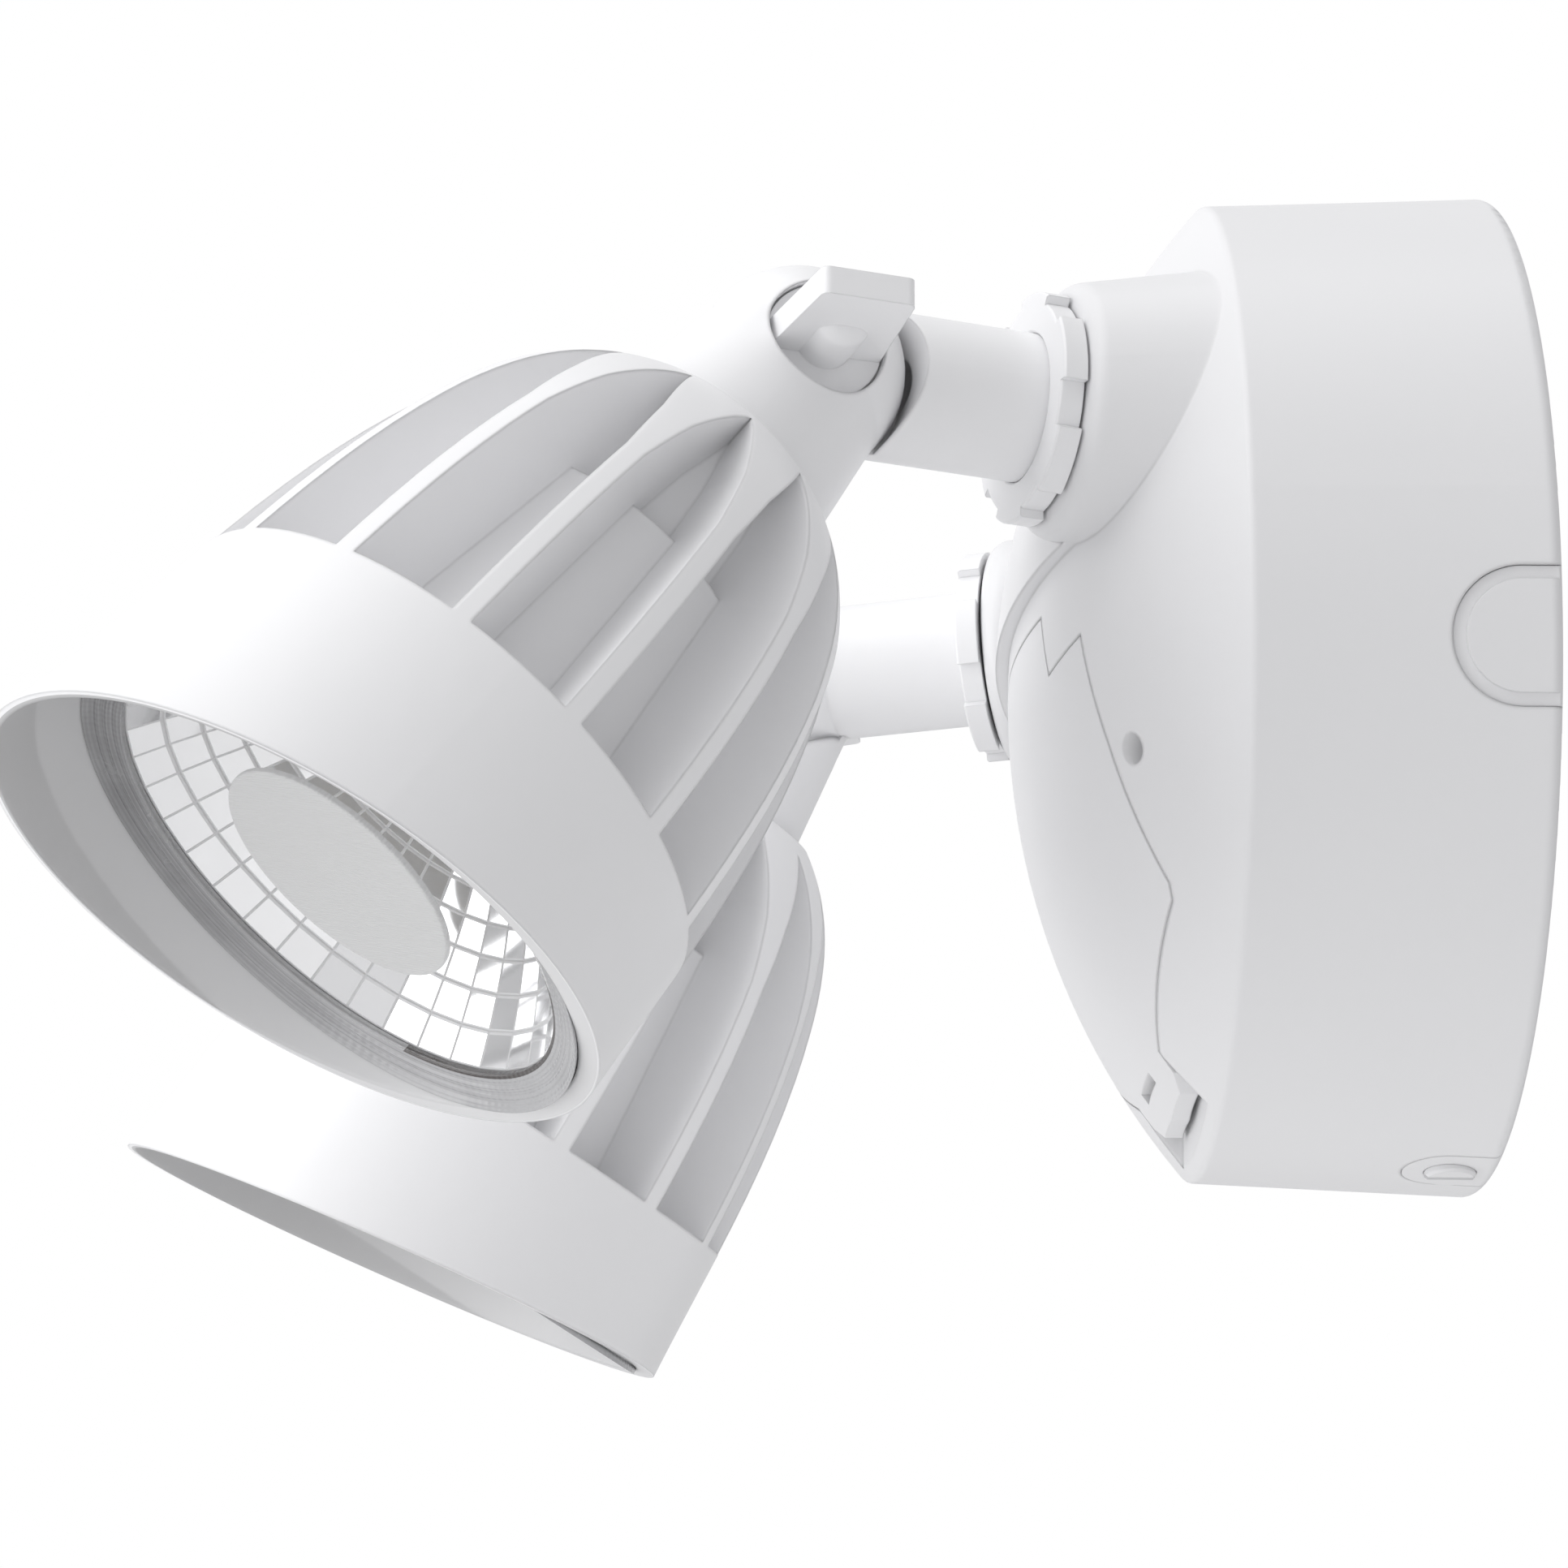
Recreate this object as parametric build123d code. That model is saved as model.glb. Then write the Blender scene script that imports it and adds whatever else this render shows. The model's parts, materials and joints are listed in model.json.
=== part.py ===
"""Twin-head wall floodlight: round canopy, two swivel arms, two finned lamp heads.

Frame: origin at the centre of the canopy's back rim, on the wall plane.
+Y points into the wall, +Z up, +X to the right as seen from in front.
"""
from build123d import *
from math import cos, pi, radians, sin, sqrt
import os

os.makedirs("parts", exist_ok=True)

# ---------------------------------------------------------------- driving dimensions, mm
# canopy
BACK_R = 74.0            # radius of the rim against the wall
FRONT_R = 72.3           # radius where the side wall meets the dome
WALL_DEPTH = 41.6        # length of the side wall
DOME_RISE = 27.0         # height of the dome in front of the side wall
SHELL_T = 2.6            # moulded wall
RIM_ROUND = 1.6
DOME_ROUND = 1.2

# arm bosses on the dome
ARM_X = 43.5             # boss centre at its front face
ARM_Z = 25.1
ARM_SPLAY = 17.0         # degrees outward from straight ahead
BOSS_R = 18.2
BOSS_BASE_R = 20.6       # where the boss runs into the dome
BOSS_BASE_Y = -43.0
BOSS_FACE = 66.2         # distance of the boss face from the wall, on the arm axis
BOSS_ROUND = 3.2
BRIDGE_RAISE = 2.0       # saddle between the bosses stands this far off the dome

# arms and knuckles
TUBE_R = 10.65           # 1/2 in straight pipe thread, major radius
TUBE_BORE_R = 7.0
HINGE_REACH = 37.4       # boss face to hinge axis, along the arm
TUBE_INSIDE = 15.0       # thread length behind the boss face
KNUCKLE_R = 15.0         # ball of the knuckle
KNUCKLE_GAP = 0.15       # each half stands this far off the split plane
RUN_FIT = 0.06           # radial clearance of turning fits

# locknut and seal
NUT_R = 16.6
NUT_NOTCH_R = 15.3
NUT_T = 3.5
NUT_LOBES = 6
SEAL_T = 0.35

# lamp heads, measured along the head axis from the hinge
AXIS_OFFSET = -0.1       # head axis passes this far above the hinge
HEAD_SHIFT = -2.0        # the lamp head sits this far along its own axis from the drawing below
SHOULDER_S = 23.0
SHOULDER_R = 19.5
BAND_S = 84.4            # fins end and the plain band starts here
MOUTH_S = 113.1          # hood rim, on the axis
MOUTH_R = 45.8
MOUTH_CUT = 9.8          # degrees, hood longer on top
HOOD_END_S = 126.0       # bell is drawn to here before the mouth is cut
HOOD_END_R = 46.9
FINS = 14
FIN_T = 3.0
STEP_S = 47.0            # fins start to widen and the core steps down behind here
LENS_S = 105.9
LENS_R = 40.6
LENS_T = 1.3
DIFFUSER_R = 18.2
REFLECTOR_R = 36.0
REFLECTOR_S = 104.4
SCREW_SPAN = 27.2        # between the two screws of the light source
FLOOR_S = 74.5           # heat-sink face that carries the light source

# how the two heads stand at rest: tilt below straight ahead, and outward swivel, degrees
REST = {"right": (52.55, -2.4), "left": (55.0, 3.8)}

# thumb screw
SCREW_R = 3.0
RECESS_R = 8.7
RECESS_X = 10.2
WING_ROOT = 8.1          # half widths of the wing
WING_TIP = 6.6
WING_T = 4.0
WING_TIP_X = 30.0
HUB_R = 4.1
HUB_X = 21.0
WING_CLOCK = 52.0        # wing lies along the arm at this tilt of the head

# service cover outline, right half, as (X, Z)
COVER_HALF = [(0, 2.6), (24.0, 1.4), (25.9, -8.4), (37.6, -7.2), (39.4, -24.0), (40.0, -45.0),
              (38.8, -47.0), (13.2, -60.2), (13.0, -63.4), (10.2, -65.6), (0, -66.2)]
COVER_GAP = 0.35
# inside and outside of the ledge the cover rests on
WINDOW_HALF = [(0, 0.7), (21.4, -0.4), (23.2, -12), (34.6, -11), (36.4, -25), (37, -43.6),
               (12, -57.2), (0, -57.2)]
LEDGE_HALF = [(0, 6.0), (27.0, 4.8), (28.6, -4.6), (40.6, -3.6), (43.0, -24.0), (43.6, -47.0),
              (17.0, -62.0), (17.0, -69.0), (0, -69.0)]
PULL_HALF = [(0, -59.0), (12.9, -59.0), (17.2, -76.0), (0, -76.0)]
PULL_FLOOR_Y = -43.2

# holes and plugs in the canopy
POST_X, POST_Z = 44.5, -27.0
POST_HOLE_R = 2.15
POST_SEAT = 42.0         # distance from the wall of the seat under each screw head
SCREW_HOLE_R = 1.75
POST_R = 5.0
SIDE_CAP_DOWN = 16.3     # degrees below horizontal
SIDE_CAP_HALF = 9.6
SIDE_CAP_LENGTH = 15.0
BOTTOM_CAP_HALF = 6.8
BOTTOM_CAP_LENGTH = 13.8
CAP_GAP = 0.1
GROOVE_DEPTH = 0.5

# mounting plate behind the canopy
PLATE_Y = 0.0
PLATE_T = 2.0
BOX_SPACING = 79.4       # between slot centres; the slots reach 69.9 to 88.9 mm boxes
SLOT_LENGTH = 14.1
SLOT_R = 2.3

# driver box
DRIVER = (62.0, 24.0, 36.0)
DRIVER_AT = (0.0, -27.0, -13.0)
DRIVER_T = 2.0
EAR_X = 46.0             # screws of the driver box, either side of the centre
TERMINALS_AT = (0.0, -22.0, 11.5)
STANDOFF = 4.8           # holds the control board off the driver box


# ---------------------------------------------------------------- helpers
def disc(radius, start, end):
    """Cylinder along +Z from start to end."""
    return Pos(0, 0, start) * Cylinder(radius, end - start, align=(Align.CENTER, Align.CENTER, Align.MIN))


def ring(outer, inner, start, end):
    return disc(outer, start, end) - disc(inner, start - 1, end + 1)


def turned(points):
    """Solid turned about Z from (radius, height) corners."""
    return revolve(Plane.XZ * make_face(Polyline(*points, close=True)), Axis.Z)


def crosswise(radius, start, end):
    """Cylinder along +X from start to end."""
    return Rot(0, 90, 0) * disc(radius, start, end)


def outline_prism(half, y_from, y_to):
    """Prism along Y from the right half of an (X, Z) outline, mirrored to the left."""
    whole = half + [(-x, z) for x, z in reversed(half) if x > 0]
    face = make_face(Polyline(*[(x, z) for x, z in whole], close=True))
    return extrude(Plane.XZ * Pos(0, 0, -y_to) * face, y_to - y_from)


def grown(half, by):
    """Outline prism face grown by a distance, as a prism through the dome."""
    whole = half + [(-x, z) for x, z in reversed(half) if x > 0]
    face = offset(make_face(Polyline(*whole, close=True)), by, kind=Kind.INTERSECTION)
    return extrude(Plane.XZ * face, 80.0)


def sides():
    """Right and left: name and the sign of X."""
    return (("right", 1), ("left", -1))


def to_side(part, sign):
    return part if sign > 0 else mirror(part, about=Plane.YZ)


# ---------------------------------------------------------------- frames of the right-hand side
def turn(vector, axis, degrees):
    return vector.rotate(Axis((0, 0, 0), tuple(axis)), degrees)


def arm_direction():
    return Vector(sin(radians(ARM_SPLAY)), -cos(radians(ARM_SPLAY)), 0)


def boss_point():
    return Vector(ARM_X, -BOSS_FACE, ARM_Z)


def hinge_point():
    return boss_point() + arm_direction() * HINGE_REACH


def hinge_direction(side):
    across = Vector(cos(radians(ARM_SPLAY)), sin(radians(ARM_SPLAY)), 0)
    return turn(across, arm_direction(), REST[side][1])


def boss_frame():
    return Plane(origin=boss_point(), x_dir=(cos(radians(ARM_SPLAY)), sin(radians(ARM_SPLAY)), 0),
                 z_dir=arm_direction())


def arm_frame(side):
    return Plane(origin=hinge_point(), x_dir=hinge_direction(side), z_dir=arm_direction())


def head_frame(side):
    hinge = hinge_direction(side)
    axis = turn(arm_direction(), hinge, REST[side][0])
    return Plane(origin=hinge_point(), x_dir=hinge, z_dir=axis)


def place(part, frame, sign):
    return to_side(frame.location * part, sign)


# ---------------------------------------------------------------- canopy
def canopy_profile(inset):
    """Half section of the canopy in the XY plane, shrunk by inset everywhere but at the back."""
    apex = -(WALL_DEPTH + DOME_RISE) + inset
    sphere = (FRONT_R ** 2 + DOME_RISE ** 2) / (2 * DOME_RISE) - inset
    centre = apex + sphere
    rim_r = FRONT_R - inset
    rim_y = centre - sqrt(sphere ** 2 - rim_r ** 2)
    mid_r = rim_r / 2
    mid_y = centre - sqrt(sphere ** 2 - mid_r ** 2)
    back_y = 0.0 if inset == 0 else 1.0
    dome = ThreePointArc((0, apex), (mid_r, mid_y), (rim_r, rim_y))
    rest = Polyline((rim_r, rim_y), (BACK_R - inset, back_y), (0, back_y), (0, apex))
    return make_face([*dome.edges(), *rest.edges()])


def canopy_body(inset):
    body = revolve(canopy_profile(inset), Axis.Y)
    if inset == 0:
        corner = body.edges().filter_by(GeomType.CIRCLE).sort_by(Axis.Y)
        body = fillet([e for e in corner if abs(e.center().Y + WALL_DEPTH) < 0.5], DOME_ROUND)
        rim = [e for e in body.edges().filter_by(GeomType.CIRCLE) if abs(e.center().Y) < 0.1]
        body = fillet(rim, RIM_ROUND)
    return body


def raised_dome():
    """Dome lifted by BRIDGE_RAISE, which bounds the saddle between the bosses."""
    return Pos(0, -BRIDGE_RAISE, 0) * revolve(canopy_profile(0), Axis.Y)


def bosses():
    face = boss_frame() * Circle(BOSS_R)
    base = Plane(origin=(ARM_X - 0.4, BOSS_BASE_Y, ARM_Z), x_dir=(1, 0, 0), z_dir=(0, -1, 0)) * Circle(BOSS_BASE_R)
    boss = loft([base.face(), face.face()])
    rim = [e for e in boss.edges() if (e.center(CenterOf.MASS) - boss_point()).length < 1.0]
    boss = fillet(rim, BOSS_ROUND)
    return boss, mirror(boss, about=Plane.YZ)


def saddle():
    """Bridge between the bosses, following the dome."""
    slot = SlotCenterToCenter(2 * ARM_X - 6, 2 * BOSS_R - 1)
    bar = extrude(Plane.XZ * Pos(0, ARM_Z, 40) * slot, 40)
    return bar & raised_dome()


def post(x, z, front, outer, inner, hole):
    """Hollow post along Y between two distances from the wall."""
    body = disc(outer, inner, front) - disc(hole, inner - 1, front + 1)
    return Pos(x, 0, z) * (Rot(90, 0, 0) * body)


def u_prism(half, length, reach, across):
    """U outline, open at the wall, extruded outward along +X between two radii."""
    plate = Rectangle(length - half + 5, 2 * half, align=(Align.MAX, Align.CENTER))
    sketch = Pos(5, 0) * plate + Pos(-(length - half), 0) * Circle(half)
    frame = Plane(origin=(reach[0], 0, 0), x_dir=(0, 1, 0), z_dir=(1, 0, 0))
    prism = extrude(frame * sketch, reach[1] - reach[0])
    prism = prism & Pos(0, -50, 0) * Box(400, 100, 400)
    return Rot(0, across, 0) * prism


def canopy_shell():
    inner = canopy_body(SHELL_T)
    right_boss, left_boss = bosses()
    shell = canopy_body(0) + saddle() + right_boss + left_boss
    shell -= inner
    # the bosses stay 5 mm thick at the front and hollow behind
    pocket = boss_frame().location * disc(BOSS_R - 3.8, -34, -5)
    bore = boss_frame().location * disc(TUBE_R + RUN_FIT, -40, 5)
    for cutter in (pocket, bore):
        shell = shell - cutter - mirror(cutter, about=Plane.YZ)
    # only the inside of a boss may stay within the cavity
    shell = shell & (canopy_body(0) + saddle() + right_boss + left_boss)
    # service opening with a ledge behind it
    opening = grown(COVER_HALF, COVER_GAP)
    shell -= opening
    frame = outline_prism(LEDGE_HALF, -90, -38.8) - outline_prism(WINDOW_HALF, -95, -30)
    shell += (frame & canopy_body(SHELL_T - 0.4)) - canopy_body(SHELL_T + 1.4)
    # finger recess under the cover's tongue
    recess = outline_prism(PULL_HALF, -60, PULL_FLOOR_Y)
    pan = outline_prism([(x * 1.12, z) for x, z in PULL_HALF], -60, PULL_FLOOR_Y + 2.0)
    shell += (pan & canopy_body(0)) - recess - opening
    shell -= recess
    # screw posts
    for sign in (1, -1):
        tower = post(sign * POST_X, POST_Z, 60, POST_R, -(PLATE_Y - PLATE_T) + 0.4, SCREW_HOLE_R)
        shell += (tower & canopy_body(0)) - opening
        shell -= Pos(sign * POST_X, 0, POST_Z) * (Rot(90, 0, 0) * disc(POST_HOLE_R, POST_SEAT, 80))
        shell -= side_opening(sign, 0.0)
    shell -= bottom_opening(0.0)
    return shell


def side_opening(sign, shrink):
    cutter = u_prism(SIDE_CAP_HALF - shrink, SIDE_CAP_LENGTH - shrink, (60, 80), SIDE_CAP_DOWN)
    return to_side(cutter, sign)


def bottom_opening(shrink):
    return u_prism(BOTTOM_CAP_HALF - shrink, BOTTOM_CAP_LENGTH - shrink, (60, 80), 90)


def wall_skin():
    return canopy_body(0) - canopy_body(SHELL_T)


def side_cap(sign):
    """U-shaped conduit plug with the groove that shows round its face."""
    cap = wall_skin() & side_opening(sign, CAP_GAP)
    middle = u_prism(SIDE_CAP_HALF - 1.9, SIDE_CAP_LENGTH - 1.9, (60, 90), SIDE_CAP_DOWN)
    edge = u_prism(SIDE_CAP_HALF + 0.5, SIDE_CAP_LENGTH + 0.5, (60, 90), SIDE_CAP_DOWN)
    groove = to_side(edge - middle, sign) - canopy_body(GROOVE_DEPTH)
    return cap - groove


def bottom_cap():
    cap = wall_skin() & bottom_opening(CAP_GAP)
    return cap - Pos(0, -BOTTOM_CAP_HALF, 0) * Rot(180, 0, 0) * disc(1.6, 40, 90)


def bottom_screw():
    """Slotted screw in the bottom plug."""
    head = disc(3.7, BACK_R - 1.0, BACK_R + 0.6)
    head = chamfer(head.edges().filter_by(GeomType.CIRCLE).group_by(Axis.Z)[-1], 0.4)
    head -= Pos(0, 0, BACK_R + 0.6) * Box(1.0, 9, 1.4)
    screw = head + disc(1.55, BACK_R - 9, BACK_R - 1.0)
    return Pos(0, -BOTTOM_CAP_HALF, 0) * Rot(180, 0, 0) * screw


def bottom_seat():
    """Counterbore that lets the slotted screw head sink into the plug."""
    return Pos(0, -BOTTOM_CAP_HALF, 0) * Rot(180, 0, 0) * disc(3.8, BACK_R - 1.0, 90)


# ---------------------------------------------------------------- service cover
def service_cover():
    skin = canopy_body(0) - canopy_body(SHELL_T - 0.5)
    cover = skin & grown(COVER_HALF, 0)
    return cover - Pos(0, -50, -61.5) * Box(10.0, 40, 1.5)


def cover_axis():
    """Top edge of the cover, where its tabs hook behind the opening."""
    return Vector(0, -(WALL_DEPTH + DOME_RISE) + 3.4, 1.0)


# ---------------------------------------------------------------- behind and inside the canopy
def wall_gasket():
    foam = ring(BACK_R - SHELL_T - 0.6, BACK_R - SHELL_T - 5.6, 0, 3.0)
    return Rot(90, 0, 0) * foam


def mounting_plate():
    plate = RectangleRounded(108, 58, 10)
    for x in (-BOX_SPACING / 2, BOX_SPACING / 2):
        plate -= Pos(x, 13) * SlotOverall(SLOT_LENGTH, 2 * SLOT_R)
    for x in (-POST_X, POST_X):
        plate -= Pos(x, POST_Z + 13) * Circle(SCREW_HOLE_R)
    plate -= Pos(0, 13) * Circle(11)
    plate -= Pos(0, -18) * Circle(2.1)
    return extrude(Plane.XZ * Pos(0, -13, -PLATE_Y) * plate, PLATE_T)


def ground_screw():
    head = disc(3.6, PLATE_T, PLATE_T + 2.2) - Pos(0, 0, PLATE_T + 2.2) * Box(8, 0.9, 1.6)
    screw = head + disc(2.04, 0, PLATE_T)
    return Pos(0, PLATE_Y, -31) * (Rot(90, 0, 0) * screw)


def canopy_screws():
    """Long screws down the two posts into the mounting plate."""
    screw = disc(SCREW_HOLE_R - 0.1, 0.2, POST_SEAT) + disc(POST_HOLE_R - 0.1, POST_SEAT, POST_SEAT + 3.2)
    screw -= Pos(0, 0, POST_SEAT + 3.2) * Box(6, 0.8, 1.8)
    screw -= Pos(0, 0, POST_SEAT + 3.2) * Box(0.8, 6, 1.8)
    screw = Rot(90, 0, 0) * screw
    return Compound(children=[Pos(x, 0, POST_Z) * screw for x in (-POST_X, POST_X)])


def driver_housing():
    w, d, h = DRIVER
    box = Box(w, d, h)
    box = fillet(box.edges().filter_by(Axis.Y), 3)
    box -= Box(w - 2 * DRIVER_T, d - 2 * DRIVER_T, h - 2 * DRIVER_T)
    for x in (-w / 2 + 5, w / 2 - 5):
        box -= Pos(x, d / 2, 0) * Box(4, 2.2 * DRIVER_T, 10)
    ears = Pos(0, d / 2 - 1, 0) * Box(2 * EAR_X + 9, 2, 9)
    ears -= Pos(0, d / 2 - 1, 0) * Box(w - 1, 3, 12)
    for x in (-EAR_X, EAR_X):
        ears -= Pos(x, 0, 0) * (Rot(90, 0, 0) * disc(1.7, -20, 20))
    for x in (-20, 20):
        box += Pos(x, -d / 2, -13) * (Rot(90, 0, 0) * disc(2.5, -1, STANDOFF))
    return Pos(*DRIVER_AT) * (box + ears)


def driver_board():
    w, d, h = DRIVER
    board = Box(w - 2 * DRIVER_T - 1, 1.6, h - 2 * DRIVER_T - 1)
    parts = Pos(-14, 5.3, 4) * Box(14, 9, 12) + Pos(8, 4.3, 5) * Box(12, 7, 9)
    parts += Pos(8, 0.8, -8) * (Rot(-90, 0, 0) * disc(4.5, 0, 9))
    parts += Pos(22, 0.8, -2) * (Rot(-90, 0, 0) * disc(3, 0, 8))
    return Pos(*DRIVER_AT) * Pos(0, -4, 0) * (board + parts)


def driver_screws():
    w, d, h = DRIVER
    screws = []
    for x in (-EAR_X, EAR_X):
        screw = disc(2.9, 0, 1.6) + disc(1.5, -9, 0)
        screw -= Pos(0, 0, 1.6) * Box(3.4, 0.8, 1.4)
        screw -= Pos(0, 0, 1.6) * Box(0.8, 3.4, 1.4)
        at = Pos(DRIVER_AT[0] + x, DRIVER_AT[1] + d / 2, DRIVER_AT[2])
        screws.append(at * (Rot(-90, 0, 0) * screw))
    return Compound(children=screws)


def driver_pillars():
    """Bosses inside the dome that the driver screws bite into."""
    w, d, h = DRIVER
    pillars = []
    for x in (-EAR_X, EAR_X):
        front = 62
        start = -(DRIVER_AT[1] + d / 2) + 2.0
        body = disc(3.6, start, front) - disc(1.55, start - 1, start + 9)
        pillars.append(Pos(DRIVER_AT[0] + x, 0, DRIVER_AT[2]) * (Rot(90, 0, 0) * body))
    return pillars


def terminal_block():
    block = Box(26, 14, 13)
    block = fillet(block.edges().filter_by(Axis.X), 1.5)
    for x in (-8, 0, 8):
        block -= Pos(x, -3, 0) * (Rot(90, 0, 0) * disc(2.4, 0, 8))
        block -= Pos(x, 2.4, 0) * Box(4.4, 5, 30)
    return Pos(*TERMINALS_AT) * block


def terminal_screws():
    screws = []
    for x in (-8, 0, 8):
        screw = disc(2.2, 0, 3.2) - Pos(0, 0, 3.2) * Box(6, 0.8, 1.4)
        screws.append(Pos(*TERMINALS_AT) * Pos(x, -3.2, 0) * (Rot(90, 0, 0) * screw))
    return Compound(children=screws)


def control_board():
    board = Box(52, 1.6, 26)
    parts = Pos(-12, -1.8, 2) * Box(18, 2, 16) + Pos(12, -1.8, 3) * Box(9, 2, 9)
    parts += Pos(20, -2.3, -7) * (Rot(90, 0, 0) * disc(2.2, -1.6, 1.6))
    front = DRIVER_AT[1] - DRIVER[1] / 2 - STANDOFF
    return Pos(0, front - 0.8, -26) * (board + parts)


# ---------------------------------------------------------------- arms
def knuckle_half(outward):
    """Half ball beside the split plane, flat-ended; outward is +1 for the head's half."""
    flat_r = 8.0
    flat_x = sqrt(KNUCKLE_R ** 2 - flat_r ** 2)
    edge_r = sqrt(KNUCKLE_R ** 2 - KNUCKLE_GAP ** 2)
    middle = KNUCKLE_R * cos(pi / 4)
    ball = ThreePointArc((KNUCKLE_GAP, edge_r), (middle, middle), (flat_x, flat_r))
    rest = Polyline((flat_x, flat_r), (flat_x, 0), (KNUCKLE_GAP, 0), (KNUCKLE_GAP, edge_r))
    half = revolve(make_face([*ball.edges(), *rest.edges()]), Axis.X)
    return half if outward > 0 else mirror(half, about=Plane.YZ)


def arm_body():
    """Threaded tube and the inner half of the knuckle; local Z runs out along the arm."""
    tube = disc(TUBE_R, -HINGE_REACH - TUBE_INSIDE, 0)
    far = crosswise(KNUCKLE_R + 0.5, -KNUCKLE_GAP, 40)
    tube = tube - far
    tube = tube - Pos(20 - KNUCKLE_GAP, 0, 20) * Box(40, 80, 40)
    arm = tube + knuckle_half(-1)
    arm -= disc(TUBE_BORE_R, -HINGE_REACH - TUBE_INSIDE - 1, -KNUCKLE_R - 3)
    arm -= disc(4.0, -KNUCKLE_R - 4, -7)
    arm -= crosswise(SCREW_R + RUN_FIT, -20, 1)
    arm -= nut_blank(5.15, -20, -6.5)
    return arm


def nut_blank(flat, start, end):
    """Hexagon bar along X; flat is half the distance across the flats."""
    hexagon = RegularPolygon(flat, 6, major_radius=False)
    return extrude(Plane.YZ * Pos(0, 0, start) * hexagon, end - start)


def tilt_nut():
    nut = nut_blank(5.0, -11.4, -6.6)
    return nut - crosswise(SCREW_R + RUN_FIT, -20, 0)


def locknut():
    """Scalloped ring nut; local Z is the arm axis, from the boss face outward."""
    pitch = 2 * pi / NUT_LOBES
    shape = Circle(NUT_NOTCH_R)
    for k in range(NUT_LOBES):
        lobe = Polygon((0, 0), (NUT_R + 2, -6.1), (NUT_R + 2, 6.1), align=None)
        wedge = (lobe & Circle(NUT_R))
        shape += Rot(0, 0, 360 / NUT_LOBES * k) * wedge
    blank = extrude(shape, NUT_T) - disc(TUBE_R + RUN_FIT, -1, NUT_T + 1)
    blank = chamfer(blank.edges().group_by(Axis.Z)[-1].filter_by(GeomType.CIRCLE, reverse=False), 0.3)
    return Rot(0, 0, 8) * (Pos(0, 0, SEAL_T + 0.05) * blank)


def arm_seal():
    return ring(NUT_NOTCH_R - 0.9, TUBE_R + 0.3, 0.02, SEAL_T)


# ---------------------------------------------------------------- lamp heads
def bell_curve():
    """Outer outline of the head from the shoulder to past the mouth, as (radius, height)."""
    return Spline((SHOULDER_R, SHOULDER_S), (30.2, 34.5), (36.4, 50), (41.2, 76), (HOOD_END_R, HOOD_END_S))


def bell():
    outer = bell_curve()
    rest = Polyline((HOOD_END_R, HOOD_END_S), (0, HOOD_END_S), (0, SHOULDER_S), (SHOULDER_R, SHOULDER_S))
    return revolve(Plane.XZ * make_face([*outer.edges(), *rest.edges()]), Axis.Z)


def core():
    """Solid the fins stand on: front cone, a step, and the narrow rear."""
    return turned([(0, SHOULDER_S), (SHOULDER_R - 0.6, SHOULDER_S), (19.4, STEP_S), (23.0, STEP_S),
                   (29.5, BAND_S + 1), (0, BAND_S + 1)])


def fins():
    """Radial fins, even in thickness, spreading behind the step until they meet at the shoulder."""
    half = FIN_T / 2
    rear = 5.4
    profile = [(half, BAND_S + 1), (half, STEP_S), (2.5, 37.0), (rear, SHOULDER_S),
               (-rear, SHOULDER_S), (-2.5, 37.0), (-half, STEP_S), (-half, BAND_S + 1)]
    frame = Plane(origin=(0, 0, 0), x_dir=(1, 0, 0), z_dir=(0, -1, 0))
    slab = extrude(frame * make_face(Polyline(*profile, close=True)), -50)
    return [Rot(0, 0, 360 / FINS * k) * slab for k in range(FINS)]


def mouth_cut():
    lean = radians(MOUTH_CUT)
    frame = Plane(origin=(0, 0, MOUTH_S), x_dir=(1, 0, 0), z_dir=(0, -sin(lean), cos(lean)))
    return frame.location * Box(140, 140, 60, align=(Align.CENTER, Align.CENTER, Align.MIN))


def head_cavity():
    seat = LENS_S - 9.4
    return turned([(0, FLOOR_S), (16.2, FLOOR_S), (16.2, 78.0), (28.4, 90.0), (38.8, 90.0), (38.8, seat),
                   (LENS_R + 0.2, seat), (LENS_R + 0.2, LENS_S + 0.6), (MOUTH_R - 1.9, MOUTH_S),
                   (HOOD_END_R - 1.9, HOOD_END_S + 1), (0, HOOD_END_S + 1)])


def neck():
    """Cone from the hinge to the shoulder, its far end centred on the head axis."""
    start = Plane.XY * Circle(KNUCKLE_R - 0.4)
    end = Plane(origin=(0, AXIS_OFFSET, SHOULDER_S + HEAD_SHIFT + 1.5)) * Circle(17.6)
    return loft([start.face(), end.face()])


def head_housing():
    shape = bell()
    finned = core()
    for fin in fins():
        finned += fin & shape
    band = shape & Pos(0, 0, BAND_S) * Box(200, 200, 80, align=(Align.CENTER, Align.CENTER, Align.MIN))
    body = finned + band
    body = body - mouth_cut() - head_cavity()
    body = on_axis(body)
    # knuckle: the outer half is the head's, the inner half clears the arm's ball
    stem = neck() + knuckle_half(1)
    stem -= crosswise(KNUCKLE_R + 0.3, -40, KNUCKLE_GAP)
    stem -= Pos(KNUCKLE_GAP - 20, 0, -20) * Box(40, 80, 40)
    body = body + stem
    body -= crosswise(SCREW_R + RUN_FIT, -1, 20)
    body -= crosswise(RECESS_R, RECESS_X, 30)
    body -= wire_way()
    for x in (-SCREW_SPAN / 2, SCREW_SPAN / 2):
        body -= on_axis(Pos(x, 0, 0) * disc(1.25, FLOOR_S - 6, FLOOR_S + 1))
    return body


def wire_way():
    """Hollow that carries the lead from the knuckle to the light source."""
    chamber = turned([(0, 28), (12.5, 28), (15, STEP_S + 2), (19, STEP_S + 3), (24, 70), (0, 70)])
    return disc(3.4, 8, 35) + on_axis(chamber + disc(3.0, 60, FLOOR_S + 1))


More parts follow.
